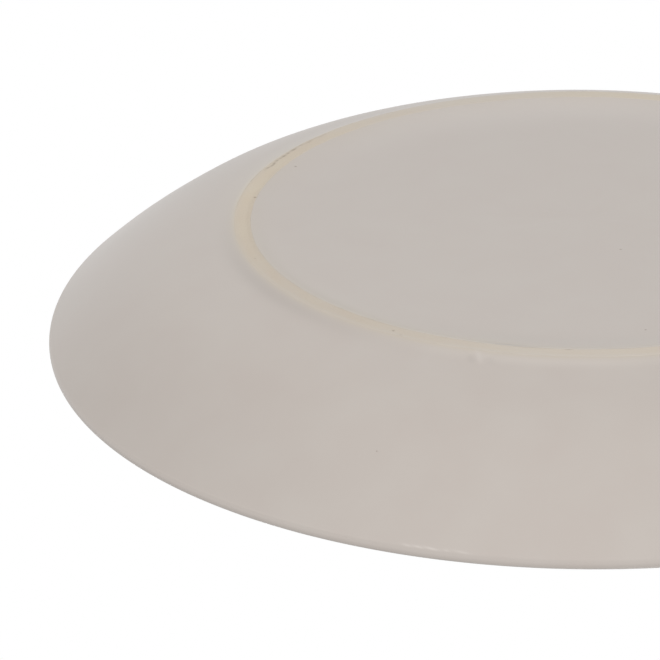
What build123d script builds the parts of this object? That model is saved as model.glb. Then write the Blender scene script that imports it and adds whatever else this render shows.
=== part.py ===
from build123d import *

import os
from math import cos, radians, sin, sqrt

# A round stoneware candle plate: a shallow dish with a flat well, standing on a low foot ring.
# The dish and the ring are fired clay. Glaze covers the dish all over and the panel inside the
# ring, and stops short of the ring's bare face. The origin is the centre of the ring on the
# surface that the plate stands on, with +Z up.

# Dish, measured over the glaze
rim_radius = 140.0
overall_height = 31.6
lip_thickness = 3.5
lip_slope = 42.0
wall_slope = 11.0
well_radius = 82.0
base_thickness = 5.0

# Foot ring
foot_radius = 88.0
foot_width = 4.6
foot_taper = 0.4
foot_round = 0.4
heel_margin = 0.5
base_recess = 1.3

# Glaze
glaze_thickness = 0.4
glaze_edge = 0.25
bare_height = 0.35
cove_radius = 4.0

# Places worked out from the sizes, as radius and height in the half section
foot_inner = foot_radius - foot_width / 2
foot_outer = foot_radius + foot_width / 2
seat_height = base_recess + glaze_thickness
seat_inner = foot_inner - foot_taper
seat_outer = foot_outer + foot_taper
heel_radius = seat_outer + heel_margin
clay_floor = seat_height + base_thickness
well_floor = clay_floor + glaze_thickness
bare_taper = foot_taper * bare_height / seat_height
lip_centre = Vector(rim_radius - lip_thickness / 2, overall_height - lip_thickness / 2)


def rise(slope):
    """Direction along the wall, outwards and up, at a slope in degrees."""
    return Vector(cos(radians(slope)), sin(radians(slope)))


def upward(slope):
    """Direction square to the wall, towards the inside of the dish, at a slope in degrees."""
    return Vector(-sin(radians(slope)), cos(radians(slope)))


def cove_start(edge, on_line, direction):
    """Where an arc of the cove's radius leaves a line, so that it ends on an edge beside the line."""
    nearest = on_line + direction * direction.dot(edge - on_line)
    depth = (nearest - edge).length
    return nearest + direction * sqrt(2 * cove_radius * depth - depth**2)


def bend_point(start, start_slope, end, end_slope):
    """Where two arcs meet smoothly that leave one point and reach another, each at its own slope."""
    chord = end - start
    leave = rise(start_slope)
    arrive = rise(end_slope)
    bend = 2 * (1 - leave.dot(arrive))
    reach = chord.dot(leave + arrive)
    handle = (sqrt(reach**2 + bend * chord.dot(chord)) - reach) / bend
    return (start + leave * handle + end - arrive * handle) * 0.5


def smooth_wall(start, start_slope, end, end_slope):
    """Draw the two arcs that meet at the bend point."""
    bend = bend_point(start, start_slope, end, end_slope)
    lower = TangentArc(start, bend, tangent=rise(start_slope))
    TangentArc(bend, end, tangent=lower % 1)


def dish_skin(depth):
    """Draw the outer wall, lip, inner wall and well floor at a depth under the glazed surface."""
    lip_round = lip_thickness / 2 - depth
    lip_outside = lip_centre - upward(lip_slope) * lip_round
    lip_inside = lip_centre + upward(lip_slope) * lip_round
    floor_edge = Vector(well_radius, well_floor - depth)
    smooth_wall(wall_root + upward(wall_slope) * depth, wall_slope, lip_outside, lip_slope)
    ThreePointArc(lip_outside, lip_centre + rise(lip_slope) * lip_round, lip_inside)
    smooth_wall(floor_edge, 0, lip_inside, lip_slope)
    Line(floor_edge, (0, well_floor - depth))


# Edges where the glaze stops beside the bare ring, and where its coves leave the wall and the base
edge_inside = Vector(foot_inner - bare_taper - glaze_edge, bare_height)
edge_outside = Vector(foot_outer + bare_taper + glaze_edge, bare_height)
heel = Vector(heel_radius, seat_height)
glazed_heel = heel - upward(wall_slope) * glaze_thickness
wall_root = cove_start(edge_outside, glazed_heel, rise(wall_slope))
base_root = cove_start(edge_inside, Vector(0, base_recess), Vector(-1, 0))

os.makedirs("parts", exist_ok=True)

# Dish: the fired clay under the glaze, with a flat underside that the ring is set on
with BuildPart() as dish_body:
    with BuildSketch(Plane.XZ) as dish_section:
        with BuildLine() as dish_outline:
            dish_skin(glaze_thickness)
            Polyline(
                (0, clay_floor),
                (0, seat_height),
                heel,
                wall_root + upward(wall_slope) * glaze_thickness,
            )
        make_face()
    revolve(axis=Axis.Z)
dish_body.part.label = "dish_body"
export_step(dish_body.part, "parts/dish_body.step")

# Foot ring: a bare ring of clay set on the underside, with softened edges on its standing face
with BuildPart() as foot_ring:
    with BuildSketch(Plane.XZ) as foot_section:
        with BuildLine() as foot_outline:
            Polyline(
                (foot_inner, 0),
                (foot_outer, 0),
                (seat_outer, seat_height),
                (seat_inner, seat_height),
                close=True,
            )
        make_face()
        fillet(foot_section.vertices().group_by(Axis.Y)[0], foot_round)
    revolve(axis=Axis.Z)
foot_ring.part.label = "foot_ring"
export_step(foot_ring.part, "parts/foot_ring.step")

# Dish glaze: one coat over the well, the lip and the wall, thickened to a cove beside the ring
with BuildPart() as dish_glaze:
    with BuildSketch(Plane.XZ) as dish_glaze_section:
        with BuildLine() as dish_glaze_outline:
            dish_skin(0)
            dish_skin(glaze_thickness)
            Line((0, well_floor), (0, clay_floor))
            TangentArc(wall_root, edge_outside, tangent=rise(wall_slope) * -1)
            Polyline(
                edge_outside,
                (foot_outer + bare_taper, bare_height),
                (seat_outer, seat_height),
                heel,
                wall_root + upward(wall_slope) * glaze_thickness,
            )
        make_face()
    revolve(axis=Axis.Z)
dish_glaze.part.label = "dish_glaze"
export_step(dish_glaze.part, "parts/dish_glaze.step")

# Base glaze: the panel inside the ring, thickened to a cove beside it
with BuildPart() as base_glaze:
    with BuildSketch(Plane.XZ) as base_glaze_section:
        with BuildLine() as base_glaze_outline:
            TangentArc(base_root, edge_inside, tangent=(1, 0))
            Polyline(
                edge_inside,
                (foot_inner - bare_taper, bare_height),
                (seat_inner, seat_height),
                (0, seat_height),
                (0, base_recess),
                base_root,
            )
        make_face()
    revolve(axis=Axis.Z)
base_glaze.part.label = "base_glaze"
export_step(base_glaze.part, "parts/base_glaze.step")
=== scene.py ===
import bpy
import numpy as np
from mathutils import Matrix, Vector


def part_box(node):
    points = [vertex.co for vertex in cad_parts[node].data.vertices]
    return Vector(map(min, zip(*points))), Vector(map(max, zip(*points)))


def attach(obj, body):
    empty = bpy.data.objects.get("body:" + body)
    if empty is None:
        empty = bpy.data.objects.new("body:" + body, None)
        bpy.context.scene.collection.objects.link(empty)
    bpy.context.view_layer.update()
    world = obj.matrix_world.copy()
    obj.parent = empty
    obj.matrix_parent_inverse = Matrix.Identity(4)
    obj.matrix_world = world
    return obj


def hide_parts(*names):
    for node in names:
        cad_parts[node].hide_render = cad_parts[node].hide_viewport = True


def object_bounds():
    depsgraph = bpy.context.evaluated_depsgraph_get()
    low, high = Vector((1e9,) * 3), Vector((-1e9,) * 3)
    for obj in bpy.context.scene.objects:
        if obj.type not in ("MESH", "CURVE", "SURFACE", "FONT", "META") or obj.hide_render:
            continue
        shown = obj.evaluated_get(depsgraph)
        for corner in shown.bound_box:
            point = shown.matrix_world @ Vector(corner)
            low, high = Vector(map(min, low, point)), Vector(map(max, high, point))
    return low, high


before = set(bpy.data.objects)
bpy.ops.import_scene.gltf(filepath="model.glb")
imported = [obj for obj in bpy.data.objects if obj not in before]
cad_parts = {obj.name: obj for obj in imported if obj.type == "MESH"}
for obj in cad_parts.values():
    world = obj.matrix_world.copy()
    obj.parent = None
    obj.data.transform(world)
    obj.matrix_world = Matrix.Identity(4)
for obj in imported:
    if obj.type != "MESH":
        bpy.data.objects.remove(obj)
cad_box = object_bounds()
clay_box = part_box("dish_body")
glaze_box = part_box("dish_glaze")
foot_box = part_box("foot_ring")

# A round stoneware candle plate on a low bare foot ring, under a satin off-white glaze. Sections are radius
# and height in millimetres. Angles go round the axis in degrees, and 270 is the side that the camera is
# nearest to. Meshes are in metres.
MM = 0.001

# Sizes from the frame: the plate's, the thickness of the glaze over the clay, the height where the glaze
# stops on the ring, and the ring's seat under the dish, where it is widest
rim_radius = cad_box[1].x / MM
overall_height = cad_box[1].z / MM
glaze_thickness = rim_radius - clay_box[1].x / MM
bare_height = glaze_box[0].z / MM
seat_outer = foot_box[1].x / MM
seat_height = foot_box[1].z / MM

# Sizes of the part's source that no box shows, of the dish
lip_thickness = 3.5
lip_slope = 42.0
wall_slope = 11.0
well_radius = 82.0
base_thickness = 5.0

# The same of the foot ring and the glaze beside it
foot_width = 4.6
foot_taper = 0.4
foot_round = 0.4
heel_margin = 0.5
glaze_edge = 0.25
cove_radius = 4.0

foot_outer = seat_outer - foot_taper
foot_inner = foot_outer - foot_width
foot_radius = foot_outer - foot_width / 2
seat_inner = foot_inner - foot_taper
base_recess = seat_height - glaze_thickness
well_floor = seat_height + base_thickness + glaze_thickness
lip_centre = np.array([rim_radius - lip_thickness / 2, overall_height - lip_thickness / 2])


def rise(slope):
    """Direction along the wall, outwards and up: cosine and sine of the slope in degrees."""
    return np.array([np.cos(np.radians(slope)), np.sin(np.radians(slope))])


def upward(slope):
    """Direction square to the wall, towards the inside of the dish: rise turned by a quarter."""
    return np.array([-np.sin(np.radians(slope)), np.cos(np.radians(slope))])


# The dish's underside ends at the heel. Its outer face comes down the wall to the root, where the cove of
# the part's source leaves it for the ring. The root lies past the point nearest the glaze's edge, by the
# square root of 2 radius depth - depth squared
heel = np.array([seat_outer + heel_margin, seat_height])
glaze_foot = np.array([foot_outer + foot_taper * bare_height / seat_height + glaze_edge, bare_height])
face_start = heel - upward(wall_slope) * glaze_thickness
nearest = face_start + rise(wall_slope) * (rise(wall_slope) @ (glaze_foot - face_start))
cove_depth = np.hypot(*(nearest - glaze_foot))
wall_root = nearest + rise(wall_slope) * np.sqrt(2 * cove_radius * cove_depth - cove_depth**2)


def arc_to(start, leave, end, share):
    """Arc that leaves start in a direction and ends at end, at shares of its length, and its last
    direction. It turns by twice the angle h between the direction and the chord, so its radius is the chord
    over twice sin h, and its points are start plus radius times (sin a along the direction, 1 - cos a across
    it), for a up to 2h."""
    chord = end - start
    across = np.array([-leave[1], leave[0]])
    half = np.arctan2(chord @ across, chord @ leave)
    radius = np.hypot(*chord) / (2 * np.sin(half))
    a = 2 * half * share[:, None]
    points = start + radius * (np.sin(a) * leave + (1 - np.cos(a)) * across)
    return points, np.cos(2 * half) * leave + np.sin(2 * half) * across


def wall_line(start, start_slope, end, end_slope, count):
    """Two arcs that meet smoothly halfway between handles of one length, laid along the slopes at both
    ends. Points crowd towards the end of the second, where the lip is."""
    chord, leave, arrive = end - start, rise(start_slope), rise(end_slope)
    bend = 2 * (1 - leave @ arrive)
    reach = chord @ (leave + arrive)
    handle = (np.sqrt(reach**2 + bend * chord @ chord) - reach) / bend
    middle = (start + leave * handle + end - arrive * handle) / 2
    share = np.linspace(0, 1, count)
    lower, onward = arc_to(start, leave, middle, share)
    upper, _ = arc_to(middle, onward, end, 1 - (1 - share) ** 2)
    return np.concatenate([lower, upper[1:]])


def dish_skin(depth, floor_rows, wall_rows, lip_rows):
    """Section of the dish at a depth under the glazed face, from the axis: well floor, inner wall, half
    round lip and outer wall down to its root."""
    lip_round = lip_thickness / 2 - depth
    floor_edge = np.array([well_radius, well_floor - depth])
    lip_inside = lip_centre + upward(lip_slope) * lip_round
    lip_outside = lip_centre - upward(lip_slope) * lip_round
    root = wall_root + upward(wall_slope) * depth
    floor = np.linspace([0, well_floor - depth], floor_edge, floor_rows)
    inner = wall_line(floor_edge, 0, lip_inside, lip_slope, wall_rows)
    a = np.radians(np.linspace(lip_slope + 90, lip_slope - 90, lip_rows))
    lip = lip_centre + lip_round * np.stack([np.cos(a), np.sin(a)], 1)
    outer = wall_line(root, wall_slope, lip_outside, lip_slope, wall_rows)
    return np.concatenate([floor, inner[1:], lip[1:], outer[::-1][1:]])


# Lines round the axis on which the clay under the glaze and the pieces that show have their points
hidden_lines = 240
shown_lines = 360


def round_lines(count, *spots):
    """Angles in degrees: an even count round the axis, with more at spots of (middle, reach, count)."""
    more = [np.linspace(middle - reach, middle + reach, lines) for middle, reach, lines in spots]
    return np.unique(np.concatenate([np.arange(count) * 360 / count, *more]).round(4) % 360)


def away(angle, middle):
    """How far an angle lies from another, in degrees from -180 to 180."""
    return (angle - middle + 180) % 360 - 180


def step(low, high, value):
    """Smooth step from 0 to 1: t squared times (3 - 2t), for t from low to high."""
    t = np.clip((value - low) / (high - low), 0, 1)
    return t * t * (3 - 2 * t)


def between(zone, value):
    """Smooth step up over a zone's first two values, times a smooth step down over its last two."""
    return step(zone[0], zone[1], value) * (1 - step(zone[2], zone[3], value))


def hump(value, width):
    """Bell curve of height 1 and a given width to its bend."""
    return np.exp(-0.5 * (value / width) ** 2)


def sides(places, angle):
    """Sum of bell curves round the axis, from places of (angle, spread, amount)."""
    return sum(amount * hump(away(angle, middle), spread) for middle, spread, amount in places)


def patches(places, angle, r):
    """Sum of soft patches, each a bell curve round the axis times one across the radius, from places of
    (angle, spread, radius, width, amount)."""
    return sum(amount * hump(away(angle, middle), spread) * hump(r - radius, width)
               for middle, spread, radius, width, amount in places)


# Waves that a ripple adds, and what their sum is divided by to stay mostly within 1
wave_count = 12
wave_spread = 4.5


def ripple(angle, turns, seed, along=0.0, length=1.0):
    """Sum of cosine waves over wave_spread: each goes a whole number of times round the axis, up to turns,
    and runs along the section with a wavelength of length or more, from a phase drawn with a seed."""
    draw = np.random.default_rng(seed)
    counts = draw.integers(1, turns + 1, wave_count)
    tilts = draw.uniform(-1, 1, wave_count)
    phases = draw.uniform(0, 6.3, wave_count)
    waves = [np.cos(count * np.radians(angle) + tilt * 2 * np.pi * along / length + phase)
             for count, tilt, phase in zip(counts, tilts, phases)]
    return sum(waves) / wave_spread


# Edges that turn by more than this stay sharp
sharp_turn = np.radians(50)


def carried_round(name, section_r, section_z, angle, **tints):
    """Section carried round the axis: x = r cos a, y = r sin a. Rows are points of the section and columns
    are angles, and each quad runs along the section first, so a section that goes outwards on top faces up.
    A section that starts and ends on the axis closes there in points, and another closes on itself. Tints
    are kept as point attributes of the same rows and columns."""
    rows, columns = section_r.shape
    poles = section_r[0, 0] == 0

    def points_of(values):
        """One value for each point: the whole grid, with one point only for each row on the axis."""
        flat = values.reshape(-1, *values.shape[2:])
        return np.concatenate([flat[:1], flat[columns:-columns], flat[-1:]]) if poles else flat

    a = np.radians(angle)
    grid = np.stack([section_r * np.cos(a), section_r * np.sin(a), section_z], 2) * MM
    after = np.roll(np.arange(columns), -1)
    if poles:
        number = 1 + np.arange((rows - 2) * columns).reshape(rows - 2, columns)
        below, above = number[:-1], number[1:]
        last = number[-1, -1] + 1
        fans = np.concatenate([np.stack([np.zeros(columns, int), number[0], number[0][after]], 1),
                               np.stack([number[-1], np.full(columns, last), number[-1][after]], 1)])
    else:
        number = np.arange(rows * columns).reshape(rows, columns)
        below, above = number, np.roll(number, -1, 0)
        fans = np.zeros((0, 3), int)
    quads = np.stack([below, above, above[:, after], below[:, after]], 2).reshape(-1, 4)
    mesh = bpy.data.meshes.new(name)
    mesh.from_pydata(points_of(grid).tolist(), [], quads.tolist() + fans.tolist())
    mesh.polygons.foreach_set("use_smooth", np.ones(len(mesh.polygons), bool))
    for tint, values in tints.items():
        shares = np.clip(np.broadcast_to(values, section_r.shape), 0, 1).astype(np.float32)
        mesh.attributes.new(tint, "FLOAT", "POINT").data.foreach_set("value", points_of(shares))
    mesh.update()
    mesh.set_sharp_from_angle(angle=sharp_turn)
    piece = bpy.data.objects.new(name, mesh)
    bpy.context.scene.collection.objects.link(piece)
    return piece


def square_out(section):
    """Direction out of the material at each point of a section: its own direction, a quarter turn left."""
    along = np.gradient(section, axis=0)
    along /= np.hypot(*along.T)[:, None]
    return np.stack([-along[:, 1], along[:, 0]], 1)


def length_along(section):
    """Distance along a section from its start to each point."""
    return np.concatenate([[0], np.cumsum(np.hypot(*np.diff(section, axis=0).T))])


# Rounded edges of the ring's standing face: the lean of its side, how far the rounding cuts into the face,
# and how far it turns
lean = np.arctan2(foot_taper, seat_height)
corner = foot_round * np.tan((np.pi / 2 - lean) / 2)
side_turn = np.pi / 2 - lean

# Turn on the rounded edge where the glaze mostly stops, the slow and fine waves of that line, the turns that
# it stays between, and sides where it moves: angle, spread, turn
glaze_stop = 0.75
stop_waves = (0.2, 0.12)
stop_ends = (0.15, 1.3)
stop_outside = ((29, 7, 0.5), (2, 18, -0.4), (268, 25, -0.45))
stop_inside = ((282, 30, -0.45),)


def ring_edge(turn):
    """Point on the ring's rounded outer edge at a turn in radians from its flat: an arc of foot_round."""
    return foot_outer - corner + foot_round * np.sin(turn), foot_round * (1 - np.cos(turn))


def glaze_line(angle, seed, places):
    """Where the glaze stops on the ring's edge: the turn glaze_stop, slow and fine waves, and places."""
    slow, fine = stop_waves
    waves = slow * ripple(angle, turns=9, seed=seed) + fine * ripple(angle, turns=90, seed=seed + 1)
    return np.clip(glaze_stop + waves + sides(places, angle), *stop_ends)


# How the rim warped in firing, as its outline in the photograph shows: how far it sank, its waves round the
# axis, each with a count, a reach outwards and up in millimetres and the angle of a crest, and the radii
# between which all of it grows
rim_drop = 0.2
rim_waves = ((2, 0.30, -0.06, 60), (4, 0.38, -0.17, 49))
rim_growth = (118, 137)


def warped(r, z, angle):
    """Section moved by the rim's waves: the reach times the cosine of count times the angle from the crest,
    and by its drop, all times a smooth step between the radii of rim_growth."""
    rim = step(*rim_growth, r)
    outwards, upwards = 0, -rim_drop
    for count, out, up, crest in rim_waves:
        wave = np.cos(np.radians(count * (angle - crest)))
        outwards, upwards = outwards + out * wave, upwards + up * wave
    return r + rim * outwards, z + rim * upwards


def fired_clay_dish():
    """Dish of clay under the glaze: its section from the axis over the well, lip and wall, down to the heel
    and back along the flat underside, warped at the rim."""
    skin = dish_skin(glaze_thickness, floor_rows=10, wall_rows=16, lip_rows=15)
    under = np.linspace(heel, [0, seat_height], num=8)
    section = np.concatenate([skin, under])
    angle = round_lines(hidden_lines)
    return carried_round("fired_clay_dish", *warped(section[:, :1], section[:, 1:], angle[None, :]), angle)


# Radii where the glaze begins to swell towards the ring, inside and outside it
swell_inside = 76.0
swell_outside = 97.0

# Slow and fine ripples of the glazed faces, in millimetres, the radii between which they rise and fade, and
# the length over which those of the wall fade before the cove
wall_ripples = (0.032, 0.009)
wall_zone = (0, 25, 133, 138)
cove_fade = 6.0
panel_ripples = (0.06, 0.015)
panel_zone = (0, 12, 66, swell_inside)

# Run of glaze in the cove: its angle at a radius, how it slants, and its ridge, with the radii between which
# that rises and fades
run_angle = 285.1
run_radius = 92.0
run_slant = 0.45
ridge_zone = (90.2, 91.0, 92.8, 95.0)
ridge_height = 0.2
ridge_width = 0.65
# The ridge's pale tint is a painted highlight
ridge_painted_highlight = 0.13

# Hollows on both sides of the ridge, and the painted shade in them: distance from the ridge, width, amount
hollow_zone = (91.3, 92.3, 93.2, 95.0)
hollow_depth = 0.13
hollow_away = 1.9
hollow_width = 0.7
hollow_painted_shades = ((2.0, 0.75, 0.19), (-2.8, 0.9, 0.095))

# Lip's crest, made paler with painted light, and its side, made greyer with painted shade, as lengths over
# the lip from its foot
crest_zone = (1.6, 2.8, 4.5, 6.0)
lip_side_zone = (0, 0.6, 1.2, 2.2)

# Painted highlights as pale dashes along the foot of the lip: angle, reach in degrees, and how pale. All
# have one width, and slant by so many millimetres a degree
dash_width = 0.17
dash_slant = 0.3
lip_painted_highlights = (
    (286.4, 0.32, 0.32),
    (285.3, 0.34, 0.40),
    (284.0, 0.50, 0.45),
    (282.5, 0.22, 0.23),
    (281.0, 0.60, 0.25),
)

# Glaze beside the ring so thin that the clay shows through: how much all round, how uneven that is inside
# the ring, and more on some sides, as angle, spread, amount. Each fades over a reach in millimetres
outer_thin = 0.35
outer_thin_sides = ((355, 35, 0.2),)
outer_reach = 0.8
seam_thin_sides = ((24, 15, 0.35),)
seam_reach = 3.8
inner_thin = 0.12
inner_uneven = 0.06
inner_thin_sides = ((292, 34, 0.5),)
inner_reach = 2.8

# Painted light, which makes the glaze paler, and painted shade, which makes it greyer: angle, spread round
# the axis, radius, width across it, amount. The lip's crest and side have only an angle, a spread and an
# amount
wall_pools = ((274, 16, 91.9, 1.0, 0.16), (13, 9, 90.6, 0.5, 0.15), (22, 10, 134, 10, 0.24))
wall_thick = ((328, 15, 92.4, 1.4, 0.32), (314, 17, 134, 10, 0.11))
crest_pools = ((268, 13, 0.22),)
lip_thick = ((280, 40, 0.16),)
panel_pools = ((85, 38, 83, 8, 0.27), (275, 32, 85.7, 0.7, 0.3))
panel_thick = ((318, 22, 84.4, 1.5, 0.2), (274, 20, 80, 3, 0.14), (281.5, 2.3, 84.8, 0.5, 0.55))


def dish_glaze_coat():
    """Coat over the well, lip and wall, with a cove that ends in a thin edge on the rounding of the ring.
    Its hidden face is the clay's own section. Its outer face is moved along its square by slow ripples, all
    of it is warped at the rim, and the run of glaze in the cove is a ridge with a shallow hollow on each
    side. Its tints say how far its colour turns cream where the glaze is thin, paler with painted light and
    highlights, and greyer with painted shade."""
    whole = dish_skin(0, floor_rows=32, wall_rows=24, lip_rows=33)
    lip_foot = np.argmin(np.hypot(*(whole - lip_centre + upward(lip_slope) * lip_thickness / 2).T))
    face = whole[:np.flatnonzero(whole[:, 0] > swell_outside)[-1] + 1]
    inwards = (face[-1] - face[-2]) / np.hypot(*(face[-1] - face[-2]))
    cove, _ = arc_to(face[-1], inwards, np.array(ring_edge(glaze_stop)), np.linspace(0, 1, num=33))
    seat = np.array([ring_edge(side_turn), [seat_outer, seat_height], heel])
    back = dish_skin(glaze_thickness, floor_rows=6, wall_rows=8, lip_rows=9)[::-1]
    section = np.concatenate([face, cove[1:], seat, back])
    at_run, at_dashes = (run_angle, 2.6, 53), (283.6, 3.8, 77)
    angle = round_lines(shown_lines, at_run, at_dashes)[None, :]
    along = length_along(section)[:, None]
    r, z = section[:, :1], section[:, 1:]
    out = square_out(section)
    rows = np.arange(len(section))[:, None]
    shown = rows < len(face) + len(cove) - 1
    outside = shown * (rows > lip_foot)

    free = (rows < len(face)) * between(wall_zone, r) * step(0, cove_fade, along[len(face) - 1] - along)
    slow, fine = wall_ripples
    waves = slow * ripple(angle, turns=7, seed=3, along=along, length=60)
    waves = waves + fine * ripple(angle, turns=34, seed=4, along=along, length=22)
    beside = np.radians(away(angle, run_angle)) * run_radius + run_slant * (r - run_radius)
    ridge = outside * between(ridge_zone, r) * hump(beside, ridge_width)
    sunk = outside * between(hollow_zone, r)
    hollows = sunk * hump(np.abs(beside) - hollow_away, hollow_width)
    lift = free * waves + ridge_height * ridge - hollow_depth * hollows

    base_r, base_z = warped(r, z, angle)
    end_r, end_z = ring_edge(glaze_line(angle, seed=21, places=stop_outside))
    near_end = shown * np.clip((rows - len(face)) / (len(cove) - 2), 0, 1) ** 2
    whole_r = base_r + out[:, :1] * lift + near_end * (end_r - cove[-1, 0])
    whole_z = base_z + out[:, 1:] * lift + near_end * (end_z - cove[-1, 1])

    gap = np.maximum(whole_r - cove[-1, 0], 0)
    thin = (outer_thin + sides(outer_thin_sides, angle)) * np.exp(-gap / outer_reach)
    thin = outside * (thin + sides(seam_thin_sides, angle) * np.exp(-gap / seam_reach))
    over_lip = along[lip_foot] - along
    # Painted light and highlights: on the wall, the lip's crest, the dashes along the lip's foot and the
    # ridge
    pool = outside * patches(wall_pools, angle, r) + ridge_painted_highlight * ridge
    pool = pool + between(crest_zone, over_lip) * sides(crest_pools, angle)
    for middle, reach, pale in lip_painted_highlights:
        aside = away(angle, middle)
        pool = pool + pale * hump(aside, reach) * hump(over_lip + dash_slant * aside, dash_width)
    # Painted shade: on the wall, the lip's side and beside the ridge
    thick = outside * patches(wall_thick, angle, r)
    thick = thick + between(lip_side_zone, over_lip) * sides(lip_thick, angle)
    for place, width, shading in hollow_painted_shades:
        thick = thick + shading * sunk * hump(beside - place, width)
    return carried_round("dish_glaze_coat", whole_r, whole_z, angle[0], thin=thin, pool=pool, thick=thick)


def base_glaze_coat():
    """Panel inside the ring: hidden face from the axis outwards, a thin edge on the rounding of the ring, a
    cove, and the glazed face back to the axis, moved by slow ripples. Its tints are those of the other
    coat."""
    edge_r, edge_z = ring_edge(glaze_stop)
    side_r, side_z = ring_edge(side_turn)
    cove_foot = np.array([swell_inside, base_recess])
    cove_end = np.array([2 * foot_radius - edge_r, edge_z])
    cove, _ = arc_to(cove_foot, np.array([1.0, 0]), cove_end, np.linspace(0, 1, num=27))
    hidden = np.linspace([0, seat_height], [seat_inner, seat_height], num=8)
    panel = np.linspace(cove_foot, [0, base_recess], num=50)
    section = np.concatenate([hidden, [[2 * foot_radius - side_r, side_z]], cove[::-1], panel[1:]])
    angle = round_lines(shown_lines)[None, :]
    along = length_along(section)[:, None]
    r, z = section[:, :1], section[:, 1:]
    rows = np.arange(len(section))[:, None]
    first, last = len(hidden) + 1, len(hidden) + len(cove)
    shown = rows >= first

    free = (rows > last) * between(panel_zone, r)
    slow, fine = panel_ripples
    waves = slow * ripple(angle, turns=4, seed=13, along=along, length=70)
    waves = waves + fine * ripple(angle, turns=25, seed=14, along=along, length=18)
    end_r, end_z = ring_edge(glaze_line(angle, seed=31, places=stop_inside))
    near_end = shown * np.clip((last - rows) / (len(cove) - 1), 0, 1) ** 2
    whole_r = r + near_end * (edge_r - end_r)
    whole_z = z + free * waves + near_end * (end_z - edge_z)

    gap = np.maximum(cove_end[0] - whole_r, 0)
    thin = inner_thin + sides(inner_thin_sides, angle) + inner_uneven * ripple(angle, turns=25, seed=33)
    thin = shown * thin * np.exp(-gap / inner_reach)
    # Painted light and painted shade on the panel
    pool = shown * patches(panel_pools, angle, r)
    thick = shown * patches(panel_thick, angle, r)
    return carried_round("base_glaze_coat", whole_r, whole_z, angle[0], thin=thin, pool=pool, thick=thick)


# Pits in the ring: angle, distance out from its middle, reach round it and across it, depth, all lengths in
# millimetres, and how brown it is. The reach is so many widths of a bell curve
pit_reach = 1.5
ring_pits = (
    (6.1, -1.75, 0.42, 0.34, 0.20, 0.5),
    (300.6, 0.25, 0.28, 0.28, 0.22, 0.6),
    (298.8, 1.35, 0.34, 0.26, 0.12, 0.15),
    (271.7, -1.9, 0.75, 0.22, 0.10, 0.14),
    (338.7, 0.3, 0.35, 0.35, 0.06, 0.15),
)

# Open seam along the ring's outer edge: the angles between which it rises and fades, its distance out from
# the ring's middle and how far it wanders, its width, its depth where it is all brown, and the least and
# most that it is brown
seam_zone = (17.5, 19.5, 34, 41)
seam_out = 1.35
seam_wander = 0.28
seam_width = 0.24
seam_depth = 0.2
seam_brown = (0.1, 0.75)

# Wide places of the seam: angle, reach in degrees, and how much browner it is
seam_gaps = (
    (19.8, 0.3, 0.26), (20.9, 0.25, 0.26), (21.9, 0.4, 0.34), (23.4, 0.25, 0.28), (24.6, 0.2, 0.2),
    (25.8, 0.4, 0.36), (27.3, 0.25, 0.28), (29.2, 0.5, 0.34), (31.6, 0.35, 0.14), (33.8, 0.5, 0.12),
    (37.6, 0.8, 0.1),
)

# Film of glaze left on the ring: how much there is all over and how uneven it is, more on some sides, as
# angle, spread, amount, and more from the middle outwards, on the outer edge and on the inner edge, each
# with the distances between which it grows, and how ragged the border is
film_all = 0.12
film_uneven = 0.07
film_sides = ((278, 34, 0.6), (66, 22, 0.7), (328, 12, 0.2))
film_outwards = 0.35
outwards_growth = (0.2, 2.6)
outwards_ragged = 0.2
film_outer = 0.4
outer_growth = (2.2, 3.0)
film_inner = 0.6
inner_growth = (1.7, 2.6)
inner_ragged = 0.12

# Sides of the ring where the clay is paler, where it is browner, and where only its inner edge is darker
# with painted shade: angle, spread, amount. The painted shade of the inner edge has a distance out from the
# ring's middle and a width
pale_sides = ((95, 26, 0.6), (8, 10, 0.3))
browner_sides = ((316, 22, 0.085),)
inner_edge_painted_shade = ((355, 14, 0.07),)
inner_shade_out = -1.6
inner_shade_width = 0.5

# Wear of the standing face, and the distances from the ring's middle within which it is worn and has flaws
wear = 0.012
worn_within = 2.4
flawed_within = 3.2


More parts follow.
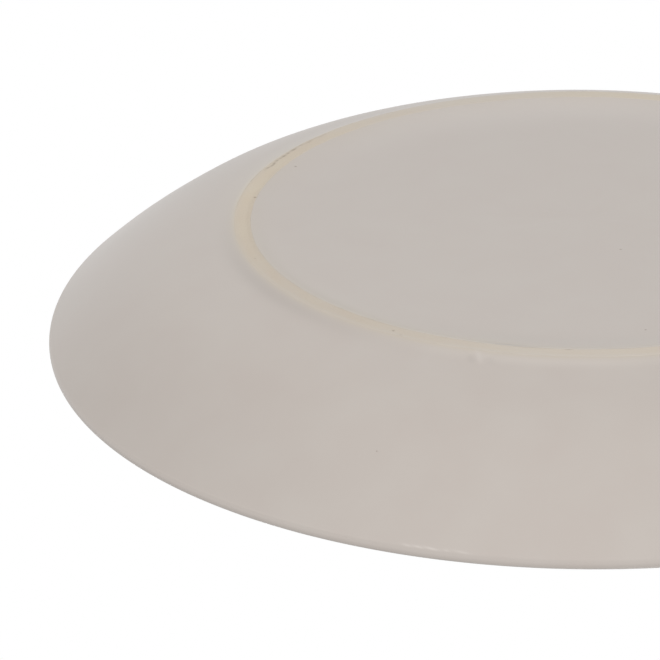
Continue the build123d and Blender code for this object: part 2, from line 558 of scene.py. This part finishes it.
def bare_foot_ring():
    """Ring of bare clay: a tapered section with rounded edges on its standing face, which lies on the floor.
    Pits and the open seam are bell curves that sink the face, and the film is the glaze left on it, thin all
    over and thicker towards its edges. Its tints say how far its colour turns to glaze, to brown, which is
    that of the seam, the pits and one side and painted shade along part of the inner edge, and to pale clay."""
    top = np.linspace([seat_inner, seat_height], [seat_outer, seat_height], num=4)
    rounding = np.stack(ring_edge(np.linspace(side_turn, 0, num=10)), 1)
    half = np.concatenate([np.linspace(top[-1], rounding[0], num=7), rounding[1:]])
    mirrored = [2 * foot_radius, 0] + half[::-1] * [-1, 1]
    flat = np.linspace(rounding[-1], [foot_inner + corner, 0], num=25)
    section = np.concatenate([top, half[1:], flat[1:], mirrored[1:-1]])
    at_seam = (29.5, 12.5, 121)
    at_pits = [(place, 1.0, 15) for place, *_ in ring_pits]
    angle = round_lines(shown_lines, at_seam, *at_pits)[None, :]
    r, z = section[:, :1], section[:, 1:]
    out = square_out(section)
    along = length_along(section)[:, None]
    middle = len(top) + len(half) - 2 + len(flat) // 2
    across = along[middle] - along

    ragged = ripple(angle, turns=70, seed=41)
    shifted = np.roll(ragged, 40, axis=1)
    uneven = ripple(angle, turns=40, seed=45, along=across, length=3)
    film = film_all + sides(film_sides, angle) + film_uneven * uneven
    film = film + film_outwards * step(*outwards_growth, across + outwards_ragged * ragged)
    film = film + film_outer * step(*outer_growth, across)
    film = film + film_inner * step(*inner_growth, inner_ragged * shifted - across)

    least, most = seam_brown
    seam_line = least * between(seam_zone, angle)
    for place, reach, brown in seam_gaps:
        seam_line = seam_line + brown * hump(away(angle, place), reach)
    wander = seam_wander * ripple(angle, turns=120, seed=47)
    seam = np.clip(seam_line, 0, most) * hump(across - seam_out - wander, seam_width)
    # Painted shade on the inner edge's rounding, in brown
    inner_edge = hump(across - inner_shade_out, inner_shade_width)
    stain = seam + sides(browner_sides, angle) + sides(inner_edge_painted_shade, angle) * inner_edge
    sunk = seam_depth * seam
    for place, off, reach, width, depth, brown in ring_pits:
        beside = np.radians(away(angle, place)) * foot_radius
        pit = hump(beside, reach / pit_reach) * hump(across - off, width / pit_reach)
        sunk, stain = sunk + depth * pit, stain + brown * pit
    worn = wear * (1 + ripple(angle, turns=60, seed=43, along=across, length=1.6))
    sunk = sunk + worn * (np.abs(across) < worn_within)
    sunk = np.maximum(sunk, 0) * (np.abs(across) < flawed_within)
    whole_r, whole_z = r - out[:, :1] * sunk, np.maximum(z - out[:, 1:] * sunk, 0)
    pale = sides(pale_sides, angle)
    return carried_round("bare_foot_ring", whole_r, whole_z, angle[0], film=film, stain=stain, pale=pale)


def linear(colour):
    """Linear red, green, blue and 1 from sRGB hex: the value over 12.92 near black, else a power of 2.4."""
    parts = [int(colour[i:i + 2], 16) / 255 for i in (1, 3, 5)]
    return [c / 12.92 if c <= 0.04045 else ((c + 0.055) / 1.055) ** 2.4 for c in parts] + [1.0]


def add(tree, kind, inputs=None, **settings):
    """Add a node with its settings. An input is a value, or another node's output to link."""
    made = tree.nodes.new(kind)
    for name, value in settings.items():
        setattr(made, name, value)
    for name, value in (inputs or {}).items():
        if isinstance(value, bpy.types.NodeSocket):
            tree.links.new(value, made.inputs[name])
        else:
            made.inputs[name].default_value = value
    return made


def new_material(name):
    """An empty node material and its tree."""
    material = bpy.data.materials.new(name)
    material.use_nodes = True
    material.node_tree.nodes.clear()
    return material, material.node_tree


def clouded(tree, place, size, first, second):
    """Soft clouds of a size in millimetres between two colours: the noise, and the mixed colour."""
    noise = add(tree, "ShaderNodeTexNoise", {"Vector": place, "Scale": 1 / (size * MM), "Detail": 3.0})
    share = add(tree, "ShaderNodeMapRange",
                {"Value": noise.outputs["Fac"], "From Min": 0.3, "From Max": 0.7})
    mixed = add(tree, "ShaderNodeMix", {0: share.outputs[0], 6: linear(first), 7: linear(second)},
                data_type="RGBA")
    return noise.outputs["Fac"], mixed.outputs[2]


def tinted(tree, colour, tints):
    """A colour mixed with others one after another, each as far as a point attribute of the mesh says."""
    for tint, shade in tints:
        amount = add(tree, "ShaderNodeAttribute", attribute_name=tint).outputs["Fac"]
        mixed = add(tree, "ShaderNodeMix", {0: amount, 6: colour, 7: linear(shade)}, data_type="RGBA")
        colour = mixed.outputs[2]
    return colour


# Pinholes in the glaze that show at the photograph's scale, in millimetres, with their radius
pinholes = (
    ((76.8, 32.7, 0.78), 0.45),
    ((-10.3, -21.4, 1.3), 0.38),
    ((-16.0, -71.3, 1.3), 0.34),
    ((47.2, -112.5, 14.7), 0.22),
)
# Stray pinholes: points of space about this far apart. Only those show that the surface happens to cut
stray_spacing = 25.0
stray_radius = 0.3


def satin_stoneware_glaze():
    """Satin tin-white glaze, dipped and fired on stoneware. It is warm grey and even, with a soft wide
    sheen, faint clouds where it lay thicker, a slightly pebbled skin, and a few pinholes with a dark bottom
    where gas came out of the clay. It turns cream where it is thin enough for the clay to show through,
    paler with painted light and highlights, and greyer with painted shade."""
    material, tree = new_material("satin_stoneware_glaze")
    place = add(tree, "ShaderNodeTexCoord").outputs["Object"]
    clouds, body = clouded(tree, place, size=16, first="#BDB4AD", second="#BFB7B0")
    # The pale tint is painted light and highlights, and the grey tint is painted shade
    uneven = tinted(tree, body, (("thin", "#C6BAA4"), ("pool", "#DCD5CF"), ("thick", "#A39C96")))
    stray = add(tree, "ShaderNodeTexVoronoi", {"Vector": place, "Scale": 1 / (stray_spacing * MM)})
    edge = stray_radius / stray_spacing
    hole = add(tree, "ShaderNodeMapRange",
               {"Value": stray.outputs["Distance"], "From Min": edge, "From Max": edge / 2}).outputs[0]
    for middle, radius in pinholes:
        spot = [c * MM for c in middle]
        gap = add(tree, "ShaderNodeVectorMath", {0: place, 1: spot}, operation="DISTANCE").outputs["Value"]
        near = add(tree, "ShaderNodeMapRange",
                   {"Value": gap, "From Min": radius * MM, "From Max": radius * MM / 2})
        hole = add(tree, "ShaderNodeMath", {0: hole, 1: near.outputs[0]}, operation="MAXIMUM").outputs[0]
    colour = add(tree, "ShaderNodeMix", {0: hole, 6: uneven, 7: linear("#A69B91")}, data_type="RGBA")
    # The skin's pebbles are about 2.5 mm across
    pebbles = add(tree, "ShaderNodeTexNoise", {"Vector": place, "Scale": 1 / (2.5 * MM), "Detail": 1.0})
    skin = add(tree, "ShaderNodeBump",
               {"Height": pebbles.outputs["Fac"], "Strength": 0.12, "Distance": 0.03 * MM})
    pitted = add(tree, "ShaderNodeBump",
                 {"Height": hole, "Strength": 0.4, "Distance": 0.3 * MM, "Normal": skin.outputs[0]},
                 invert=True)
    sheen = add(tree, "ShaderNodeMapRange", {"Value": clouds, "To Min": 0.32, "To Max": 0.4})
    shader = add(tree, "ShaderNodeBsdfPrincipled",
                 {"Base Color": colour.outputs[2], "Roughness": sheen.outputs[0], "IOR": 1.5,
                  "Normal": pitted.outputs[0]})
    add(tree, "ShaderNodeOutputMaterial", {"Surface": shader.outputs[0]})
    return material


def bare_stoneware(name, edged):
    """Stoneware clay fired bare, wiped clean of glaze. It is cream and matt, with fine sand, and warmer and
    paler clouds from the flame. An edged one is paler in parts, and has a film of glaze, which is less matt,
    and brown in its flaws and on one side, and brown painted shade along part of its inner edge."""
    material, tree = new_material(name)
    place = add(tree, "ShaderNodeTexCoord").outputs["Object"]
    _, clay = clouded(tree, place, size=20, first="#CFBFAB", second="#D3C8B6")
    # Sand grains are about 0.6 mm across
    sand = add(tree, "ShaderNodeTexNoise", {"Vector": place, "Scale": 1 / (0.6 * MM), "Detail": 2.0})
    grain = add(tree, "ShaderNodeMapRange",
                {"Value": sand.outputs["Fac"], "From Min": 0.35, "From Max": 0.7, "To Max": 0.3})
    sandy = add(tree, "ShaderNodeMix", {0: grain.outputs[0], 6: clay, 7: linear("#C2B39E")},
                data_type="RGBA")
    colour, matt = sandy.outputs[2], 0.85
    if edged:
        # The brown tint is that of flaws, and painted shade along part of the inner edge
        colour = tinted(tree, colour, (("pale", "#D9CFBC"), ("film", "#CAC1B6"), ("stain", "#5E4630")))
        film = add(tree, "ShaderNodeAttribute", attribute_name="film").outputs["Fac"]
        matt = add(tree, "ShaderNodeMapRange", {"Value": film, "To Min": 0.85, "To Max": 0.5}).outputs[0]
    rough = add(tree, "ShaderNodeBump",
                {"Height": sand.outputs["Fac"], "Strength": 0.35, "Distance": 0.08 * MM})
    shader = add(tree, "ShaderNodeBsdfPrincipled",
                 {"Base Color": colour, "Roughness": matt, "IOR": 1.45, "Normal": rough.outputs[0]})
    add(tree, "ShaderNodeOutputMaterial", {"Surface": shader.outputs[0]})
    return material


glaze = satin_stoneware_glaze()
for piece, node, slot, material in (
    (fired_clay_dish(), "dish_body", "stoneware", bare_stoneware("bare_stoneware_dish", edged=False)),
    (dish_glaze_coat(), "dish_glaze", "satin_glaze", glaze),
    (base_glaze_coat(), "base_glaze", "satin_glaze", glaze),
    (bare_foot_ring(), "foot_ring", "stoneware", bare_stoneware("bare_stoneware_foot", edged=True)),
):
    piece.data.materials.append(material)
    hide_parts(node)
    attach(piece, "root")

# Floor: half its width, its drop under the foot, and the radii between which it fades, all in metres
floor_reach = 1.0
floor_drop = 0.2 * MM
fade_from = 0.15
fade_to = 0.45


def pale_floor():
    """Sheet under the foot, seen from above only, because the photograph's camera looks at the plate's
    underside. It fades to the white surround, and holds back no light from below."""
    sheet = bpy.data.meshes.new("pale_floor")
    corners = np.array([[-1, -1, 0], [1, -1, 0], [1, 1, 0], [-1, 1, 0]]) * floor_reach - [0, 0, floor_drop]
    sheet.from_pydata(corners.tolist(), [], [(0, 1, 2, 3)])
    floor = bpy.data.objects.new("pale_floor", sheet)
    bpy.context.scene.collection.objects.link(floor)
    material, tree = new_material("matt_white_paper")
    place = add(tree, "ShaderNodeTexCoord").outputs["Object"]
    from_middle = add(tree, "ShaderNodeVectorMath", {0: place}, operation="LENGTH")
    fade = add(tree, "ShaderNodeMapRange",
               {"Value": from_middle.outputs["Value"], "From Min": fade_to, "From Max": fade_from},
               interpolation_type="SMOOTHSTEP")
    below = add(tree, "ShaderNodeNewGeometry").outputs["Backfacing"]
    above = add(tree, "ShaderNodeMath", {0: fade.outputs[0], 1: below}, operation="SUBTRACT",
                use_clamp=True)
    paper = add(tree, "ShaderNodeBsdfDiffuse", {"Color": linear("#F6F5F3")})
    clear = add(tree, "ShaderNodeBsdfTransparent")
    shown = add(tree, "ShaderNodeMixShader",
                {0: above.outputs[0], 1: clear.outputs[0], 2: paper.outputs[0]})
    add(tree, "ShaderNodeOutputMaterial", {"Surface": shown.outputs[0]})
    floor.data.materials.append(material)
    floor.visible_shadow = floor.visible_diffuse = floor.visible_glossy = floor.visible_transmission = False


# Directions of the white card and the soft window that reflections see
card_way = (0.1, 0.9, -0.424)
window_way = (-0.55, 0.25, 0.797)


def white_surround():
    """World: white to the eye, and a soft part of the light, dimmer above, where a lamp lights the top.
    Reflections see a white band round the horizon, a white card low behind the plate and a soft bright
    window high on one side, and elsewhere shade."""
    world = bpy.data.worlds.new("white_surround")
    world.use_nodes = True
    tree = world.node_tree
    tree.nodes.clear()
    path = add(tree, "ShaderNodeLightPath").outputs
    way = add(tree, "ShaderNodeTexCoord").outputs["Generated"]
    height = add(tree, "ShaderNodeSeparateXYZ", {0: way}).outputs["Z"]
    behind = add(tree, "ShaderNodeVectorMath", {0: way, 1: card_way}, operation="DOT_PRODUCT")
    high_up = add(tree, "ShaderNodeVectorMath", {0: way, 1: window_way}, operation="DOT_PRODUCT")
    dimmer = add(tree, "ShaderNodeMapRange",
                 {"Value": height, "From Min": 0.0, "From Max": 0.5, "To Min": 0.76, "To Max": 0.56},
                 interpolation_type="SMOOTHSTEP")
    under = add(tree, "ShaderNodeMapRange",
                {"Value": height, "From Min": -0.25, "From Max": -0.05, "To Min": 0.45, "To Max": 1.0},
                interpolation_type="SMOOTHSTEP")
    over = add(tree, "ShaderNodeMapRange",
               {"Value": height, "From Min": 0.25, "From Max": 0.6, "To Min": 1.0, "To Max": 0.6},
               interpolation_type="SMOOTHSTEP")
    card = add(tree, "ShaderNodeMapRange",
               {"Value": behind.outputs["Value"], "From Min": 0.75, "From Max": 0.9, "To Min": 0.45,
                "To Max": 1.0}, interpolation_type="SMOOTHSTEP")
    window = add(tree, "ShaderNodeMapRange",
                 {"Value": high_up.outputs["Value"], "From Min": 0.88, "From Max": 0.98, "To Max": 5.0},
                 interpolation_type="SMOOTHSTEP")
    band = add(tree, "ShaderNodeMath", {0: under.outputs[0], 1: over.outputs[0]}, operation="MINIMUM")
    low = add(tree, "ShaderNodeMath", {0: band.outputs[0], 1: card.outputs[0]}, operation="MAXIMUM")
    shine = add(tree, "ShaderNodeMath", {0: low.outputs[0], 1: window.outputs[0]}, operation="ADD")
    light = add(tree, "ShaderNodeBackground", {"Strength": dimmer.outputs[0], "Color": (1, 1, 1, 1)})
    mirrored = add(tree, "ShaderNodeBackground", {"Strength": shine.outputs[0], "Color": (1, 1, 1, 1)})
    seen = add(tree, "ShaderNodeBackground", {"Strength": 1.0, "Color": (1, 1, 1, 1)})
    bent = add(tree, "ShaderNodeMath", {0: path["Is Glossy Ray"], 1: path["Is Transmission Ray"]},
               operation="MAXIMUM")
    soft = add(tree, "ShaderNodeMixShader",
               {0: bent.outputs[0], 1: light.outputs[0], 2: mirrored.outputs[0]})
    whole = add(tree, "ShaderNodeMixShader",
                {0: path["Is Camera Ray"], 1: soft.outputs[0], 2: seen.outputs[0]})
    add(tree, "ShaderNodeOutputWorld", {"Surface": whole.outputs[0]})
    bpy.context.scene.world = world


# Lamps: the width of their disc, and its distance from the plate's middle, in metres
lamp_size = 0.7
lamp_distance = 1.2


def held_at(name, data, across, up, back, place):
    """Object with its own axes laid along three directions, at a place."""
    held = bpy.data.objects.new(name, data)
    axes = np.vstack([np.column_stack([across, up, back, place]), [0, 0, 0, 1]])
    held.matrix_world = Matrix(axes.tolist())
    bpy.context.scene.collection.objects.link(held)
    return held


def soft_lamp(name, direction, watts):
    """Round soft lamp in a direction from the plate, facing it, and not seen in reflections."""
    towards = np.array(direction) / np.linalg.norm(direction)
    lamp = bpy.data.lights.new(name, "AREA")
    lamp.shape, lamp.size, lamp.energy = "DISK", lamp_size, watts
    across = np.cross([0, 1, 0], towards)
    across /= np.linalg.norm(across)
    held = held_at(name, lamp, across, np.cross(towards, across), towards, towards * lamp_distance)
    held.visible_camera = held.visible_glossy = False


def photograph_camera():
    """Camera fitted to the plate's outline and foot ring: under the plate, aimed at a point of the floor,
    upright with the underside up, and turned a little about its own axis."""
    place = np.array([0.0, -0.88479, -0.36345])
    aim = np.array([0.06031, -0.07603, 0.0])
    turn = np.radians(-1.238)
    ahead = (aim - place) / np.linalg.norm(aim - place)
    level = np.cross(ahead, [0, 0, -1])
    level /= np.linalg.norm(level)
    over = np.cross(level, ahead)
    right = np.cos(turn) * level + np.sin(turn) * over
    up = np.cos(turn) * over - np.sin(turn) * level
    camera = bpy.data.cameras.new("photograph_camera")
    camera.sensor_width, camera.lens = 36.0, 199.98
    bpy.context.scene.camera = held_at("photograph_camera", camera, right, up, -ahead, place)


pale_floor()
white_surround()
soft_lamp("below_front", direction=(0.0, -0.87, -0.5), watts=5.2)
soft_lamp("above", direction=(0.35, 0.7, 0.62), watts=12.0)
photograph_camera()
bpy.context.scene.view_settings.view_transform = "Standard"
